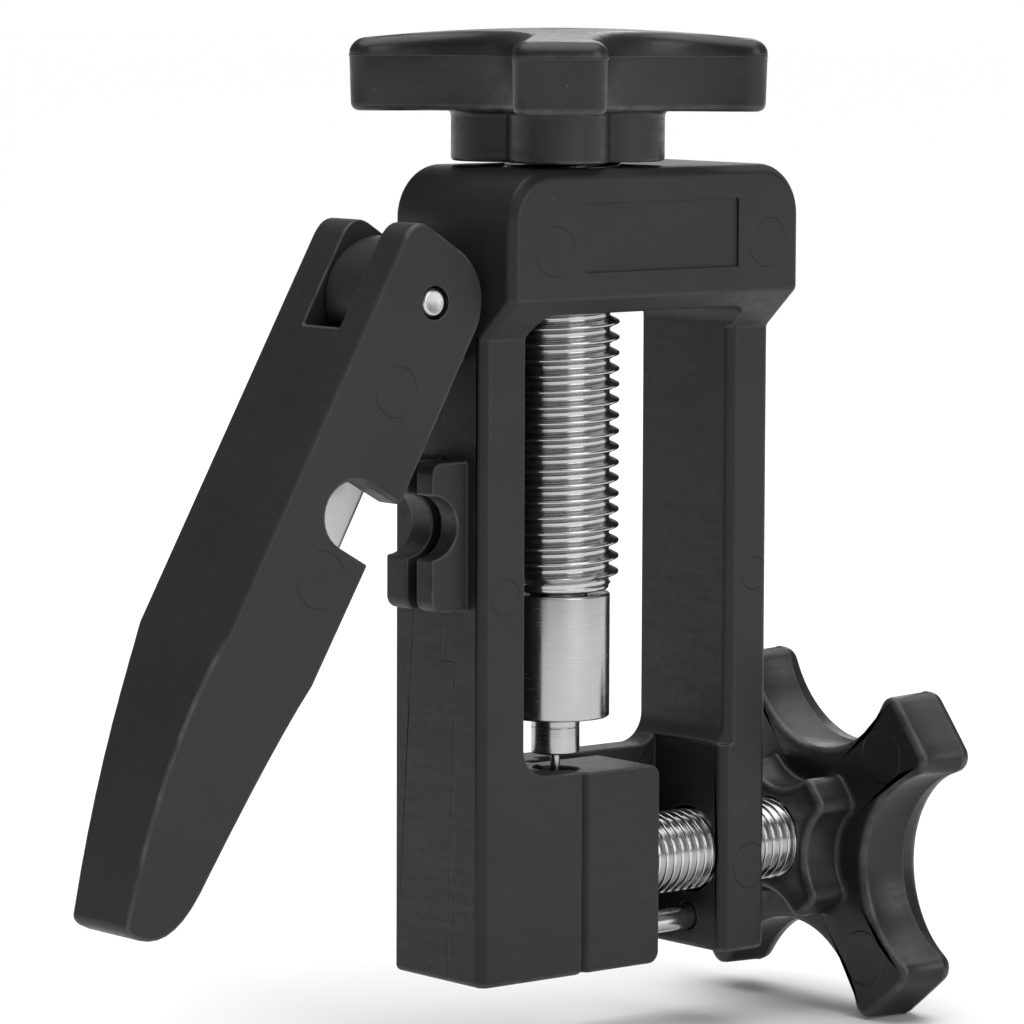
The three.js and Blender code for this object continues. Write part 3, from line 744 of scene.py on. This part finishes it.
def knob(name, hub_outline, hub_height, bore, hub_edge):
    """A star knob as one closed skin of rings, from the hub's bore to the hole in its crown."""
    plain = star_outline(**STAR)
    bare = hub_outline(plain, 0.0)
    under, over = hub_height, hub_height + STAR_HEIGHT

    def flat(outline, z):
        return [(x, y, z) for x, y in outline]

    def crowned(outline, drop):
        return [(x, y, over - drop - STAR_CROWN * (x * x + y * y) / STAR["tip"] ** 2)
                for x, y in outline]

    rings = [flat(circle_like(plain, bore), 2.4), flat(circle_like(plain, bore), 0.25),
             flat(circle_like(plain, bore + 0.25), 0)]
    for k in range(5):
        a = math.pi / 2 * k / 4
        inset = hub_edge * (1 - math.sin(a))
        rings.append(flat(hub_outline(plain, inset), hub_edge * (1 - math.cos(a))))
    rings += [flat(bare, under - 0.6), flat(hub_outline(plain, -0.06), under - 0.3),
              flat(hub_outline(plain, -0.22), under - 0.09), flat(hub_outline(plain, -0.5), under)]
    wide = hub_outline(plain, -0.5)
    first = star_outline(**STAR, inset=STAR_LOW_EDGE + DRAFT * STAR_HEIGHT)
    rings += [flat(blended(wide, first, 0.35), under), flat(blended(wide, first, 0.7), under)]
    for k in range(5):
        a = math.pi / 2 * k / 4
        inset = STAR_LOW_EDGE * (1 - math.sin(a)) + DRAFT * STAR_HEIGHT
        height = under + STAR_LOW_EDGE * (1 - math.cos(a))
        rings.append(flat(star_outline(**STAR, inset=inset), height))
    seam = over - STAR_CROWN - STAR_EDGE - 0.15
    at_seam = DRAFT * (over - seam)
    rings += [flat(star_outline(**STAR, inset=at_seam + 0.02), seam - 0.09),
              flat(star_outline(**STAR, inset=at_seam - 0.05), seam - 0.03),
              flat(star_outline(**STAR, inset=at_seam - 0.05), seam + 0.02),
              flat(star_outline(**STAR, inset=at_seam + 0.03), seam + 0.06)]
    for k in range(6):
        a = math.pi / 2 * k / 5
        outline = star_outline(**STAR, inset=at_seam + STAR_EDGE * (1 - math.cos(a)))
        rings.append(crowned(outline, STAR_EDGE * (1 - math.sin(a))))
    top = star_outline(**STAR, inset=at_seam + STAR_EDGE)
    rim = circle_like(plain, 2.1)
    rings += [crowned(blended(top, rim, t), 0) for t in (0.08, 0.22, 0.4, 0.6, 0.8, 0.93, 1.0)]
    rings += [crowned(circle_like(plain, 1.85), 0.22), crowned(circle_like(plain, 1.85), 1.6)]
    bm = bmesh.new()
    rows = skin(bm, rings)
    bm.faces.new(rows[0])
    bm.faces.new(rows[-1])
    return new_object(name, bm)


SIDE_LOW, SIDE_HIGH = span("clamp_knob")
SIDE_MIDDLE = (SIDE_LOW + SIDE_HIGH) / 2
SIDE_PLACE = (Matrix.Translation((SIDE_LOW.x, SIDE_MIDDLE.y, SIDE_MIDDLE.z))
              @ AXES["x"] @ Matrix.Rotation(SIDE_TURN, 4, "Z"))
SIDE_MARKS = [(SIDE_PLACE @ Matrix.Rotation(math.pi / 2 * k, 4, "Z")
               @ Vector((14.6, 0, SIDE_HIGH.x - SIDE_LOW.x - STAR_HEIGHT)), 2.7) for k in range(4)]
KNOB = black_plastic("black_knob_plastic", PLASTIC_TONE * 0.85, 0.38, 0.9e-5, SIDE_MARKS)


def knob_pieces():
    low, high = span("spindle_knob")
    top = knob("spindle_knob_star", lambda like, inset: petal_outline(like, 5.4, 4.8, 6.8, inset),
               high.z - low.z - STAR_HEIGHT, 5.55, 0.35)
    top.data.transform(Matrix.Translation((0, 0, low.z)) @ Matrix.Rotation(TOP_TURN, 4, "Z"))
    finish_piece(top, "spindle", "knob_plastic", KNOB, "spindle_knob", wear_and_highlight=True, angle=60)
    side = knob("clamp_knob_star",
                lambda like, inset: star_outline(**SIDE_HUB, inset=min(inset, 0.9)),
                SIDE_HIGH.x - SIDE_LOW.x - STAR_HEIGHT, 4.05, 0.7)
    side.data.transform(SIDE_PLACE)
    finish_piece(side, "clamp", "knob_plastic", KNOB, "clamp_knob", wear_and_highlight=True, angle=60)


frame_piece()
carried("spindle_nut", STEEL)
carried("clamp_nut", STEEL)
lever_piece()
hinge_pin_piece()
blade_pieces()
spindle_piece()
clamp_screw_piece()
press_head_pieces()
jaw_pieces()
knob_pieces()

# ------------------------------------------------------------------ camera, light, floor
AZIMUTH, ELEVATION, ROLL = (math.radians(a) for a in (-39.362, 5.647, 0.193))
CAMERA_AT = Vector((-332.37, -404.43, 98.05)) * MM
AIM = Vector((0, 0, 0.04))
ROOM_LIGHT, BACKDROP, OVERHEAD = 0.2, 1.0, 3.0
LAMPS = (("key", (0.05, -0.75, 0.35), 0.5, 2.6), ("rim", (0.6, 0.5, 0.5), 0.4, 1.5))


def studio():
    back = Vector((math.sin(AZIMUTH) * math.cos(ELEVATION),
                   -math.cos(AZIMUTH) * math.cos(ELEVATION), math.sin(ELEVATION)))
    right = Vector((math.cos(AZIMUTH), math.sin(AZIMUTH), 0))
    up = back.cross(right)
    side = right * math.cos(ROLL) + up * math.sin(ROLL)
    top = up * math.cos(ROLL) - right * math.sin(ROLL)
    data = bpy.data.cameras.new("camera")
    data.sensor_width = 36
    data.lens = 190.7
    data.shift_x = 0.0100
    data.shift_y = -0.0245
    data.clip_start = 0.01
    camera = bpy.data.objects.new("camera", data)
    axes = Matrix((side, top, back)).transposed().to_4x4()
    camera.matrix_world = Matrix.Translation(CAMERA_AT) @ axes
    bpy.context.scene.collection.objects.link(camera)
    bpy.context.scene.camera = camera

    bpy.context.scene.view_settings.view_transform = "Standard"
    world = bpy.data.worlds.new("studio")
    world.use_nodes = True
    tree = world.node_tree
    rays = tree.nodes.new("ShaderNodeLightPath")
    level = tree.nodes.new("ShaderNodeMapRange")
    level.inputs["To Min"].default_value = ROOM_LIGHT
    level.inputs["To Max"].default_value = BACKDROP
    tree.links.new(rays.outputs["Is Camera Ray"], level.inputs["Value"])
    tree.links.new(level.outputs["Result"], tree.nodes["Background"].inputs["Strength"])
    tree.nodes["Background"].inputs["Color"].default_value = (1, 1, 1, 1)
    bpy.context.scene.world = world

    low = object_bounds()[0][2]
    bm = bmesh.new()
    bmesh.ops.create_circle(bm, cap_ends=True, segments=96, radius=6,
                            matrix=Matrix.Translation((0, 0, low)))
    floor = new_object("floor", bm)
    n = Nodes("pale_floor")
    floor.data.materials.append(n.set(Base_Color=(0.86, 0.86, 0.86, 1), Roughness=0.9,
                                      Specular_IOR_Level=0.0))
    floor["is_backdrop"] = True

    card = block((-0.72, -0.42, 0.0), (-0.71, 0.30, 0.5))
    card.name = "dark_card"
    black = Nodes("dark_card").set(Base_Color=(0.01, 0.01, 0.01, 1), Roughness=0.9)
    card.data.materials.append(black)
    card.visible_camera = False
    card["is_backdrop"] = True

    sun = bpy.data.lights.new("overhead", "SUN")
    sun.energy = OVERHEAD
    sun.angle = math.radians(70)
    bpy.context.scene.collection.objects.link(bpy.data.objects.new("overhead", sun))
    for name, place, size, power in LAMPS:
        light = bpy.data.lights.new(name, "AREA")
        light.shape = "SQUARE"
        light.size = size
        light.energy = power
        lamp = bpy.data.objects.new(name, light)
        lamp.location = place
        aim = AIM - Vector(place)
        lamp.rotation_euler = aim.to_track_quat("-Z", "Y").to_euler()
        bpy.context.scene.collection.objects.link(lamp)


studio()
